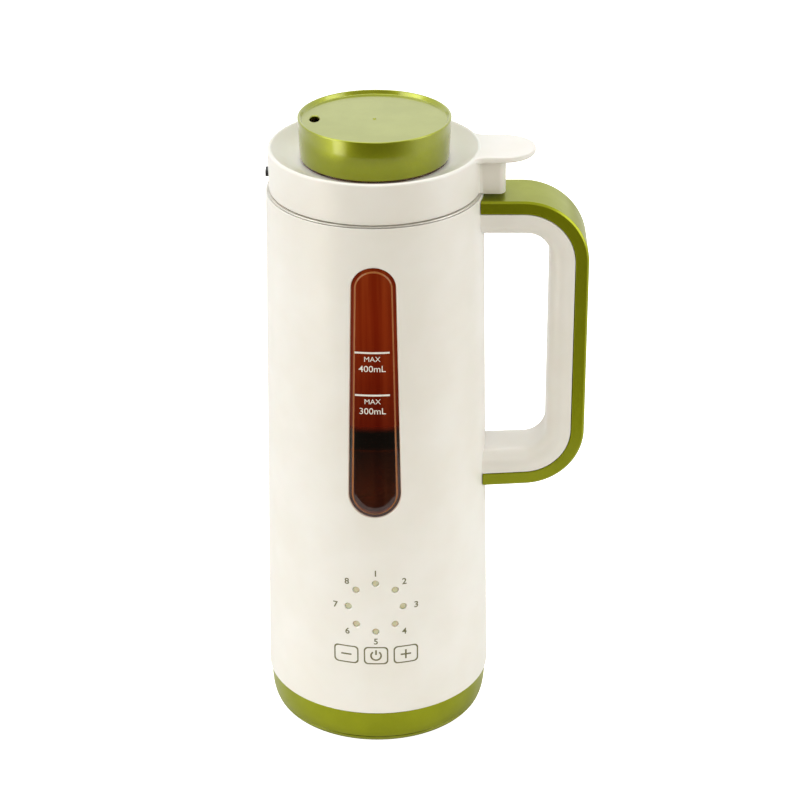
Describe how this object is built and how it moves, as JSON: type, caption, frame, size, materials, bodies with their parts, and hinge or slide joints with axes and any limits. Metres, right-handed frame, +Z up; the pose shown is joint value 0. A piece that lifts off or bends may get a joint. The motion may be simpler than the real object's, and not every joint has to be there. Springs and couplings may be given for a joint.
{
  "type": "soy milk maker",
  "caption": "Slim heated blending jug with a lift-off lid, stopper cap, level window, light ring, touch keys and a D-shaped grip.",
  "frame": {"origin": "on the jug's axis at the level of the table that the feet stand on, 1 mm under the centre of the bottom cover", "axes": "+Z up along the jug's axis, +X out to the grip and the lid's finger tab, -Y out of the front with the window, lights and keys"},
  "size_m": [0.1352, 0.096, 0.2715],
  "materials": {
    "housing_plastic": "satin moulded off-white plastic",
    "green_plastic": "moulded plastic with a pearly olive-green lacquer",
    "charcoal_plastic": "dark moulded plastic, fine texture",
    "black_rubber": "matt rubber",
    "screw_steel": "bright turned steel",
    "stainless_steel": "pressed and brushed stainless steel",
    "amber_plastic": "tinted see-through amber plastic",
    "clear_plastic": "milky see-through plastic",
    "silicone": "matt grey silicone",
    "cast_aluminium": "cast aluminium, dull",
    "motor_steel": "dark plated steel",
    "carbon": "grey-black pressed ferrite and carbon",
    "winding_copper": "lacquered copper wire on steel laminations",
    "contact_brass": "bright brass",
    "circuit_board": "green solder mask with small parts"
  },
  "bodies": {
    "jug": {"outer_housing": "housing_plastic", "base_shell": "green_plastic", "bottom_cover": "charcoal_plastic", "rubber_foot_1": "black_rubber", "rubber_foot_2": "black_rubber", "rubber_foot_3": "black_rubber", "rubber_foot_4": "black_rubber", "cover_screw_1": "screw_steel", "cover_screw_2": "screw_steel", "cover_screw_3": "screw_steel", "cover_screw_4": "screw_steel", "window_lens": "amber_plastic", "rim_ring": "stainless_steel", "inner_cup": "amber_plastic", "cup_seal": "silicone", "heating_bowl": "stainless_steel", "heating_element": "cast_aluminium", "shaft_seal": "silicone", "temperature_sensor": "cast_aluminium", "motor_bracket": "charcoal_plastic", "bracket_screw_1": "screw_steel", "bracket_screw_2": "screw_steel", "bracket_screw_3": "screw_steel", "motor_screw_1": "screw_steel", "motor_screw_2": "screw_steel", "motor_can": "motor_steel", "motor_end_cap": "charcoal_plastic", "motor_magnet_1": "carbon", "motor_magnet_2": "carbon", "brush_left": "carbon", "brush_right": "carbon", "upper_bearing": "screw_steel", "lower_bearing": "screw_steel", "control_board": "circuit_board", "light_guide": "clear_plastic", "touch_spring_1": "screw_steel", "touch_spring_2": "screw_steel", "touch_spring_3": "screw_steel", "power_board": "circuit_board", "inlet_housing": "charcoal_plastic", "inlet_pin_live": "contact_brass", "inlet_pin_earth": "contact_brass", "inlet_pin_neutral": "contact_brass", "handle_cover": "green_plastic", "lid_sensor": "circuit_board"},
    "lid": {"lid_shell": "housing_plastic", "lid_liner": "clear_plastic", "lid_seal": "silicone", "pour_lip": "amber_plastic", "lid_magnet": "motor_steel"},
    "cap": {"cap_shell": "green_plastic", "cap_plug": "amber_plastic", "cap_gasket": "silicone"},
    "drive": {"drive_shaft": "screw_steel", "rotor": "winding_copper", "cooling_fan": "charcoal_plastic", "lower_blade": "stainless_steel", "upper_blade": "stainless_steel", "blade_nut": "stainless_steel"}
  },
  "joints": [
    {"name": "lid_lift", "type": "slide", "parent": "jug", "child": "lid", "axis": [0, 0, 1], "range_m": [0, 0.08]},
    {"name": "cap_lift", "type": "slide", "parent": "lid", "child": "cap", "axis": [0, 0, 1], "range_m": [0, 0.04]},
    {"name": "blade_spin", "type": "hinge", "parent": "jug", "child": "drive", "pos_m": [0, 0, 0.06], "axis": [0, 0, 1], "continuous": true}
  ]
}
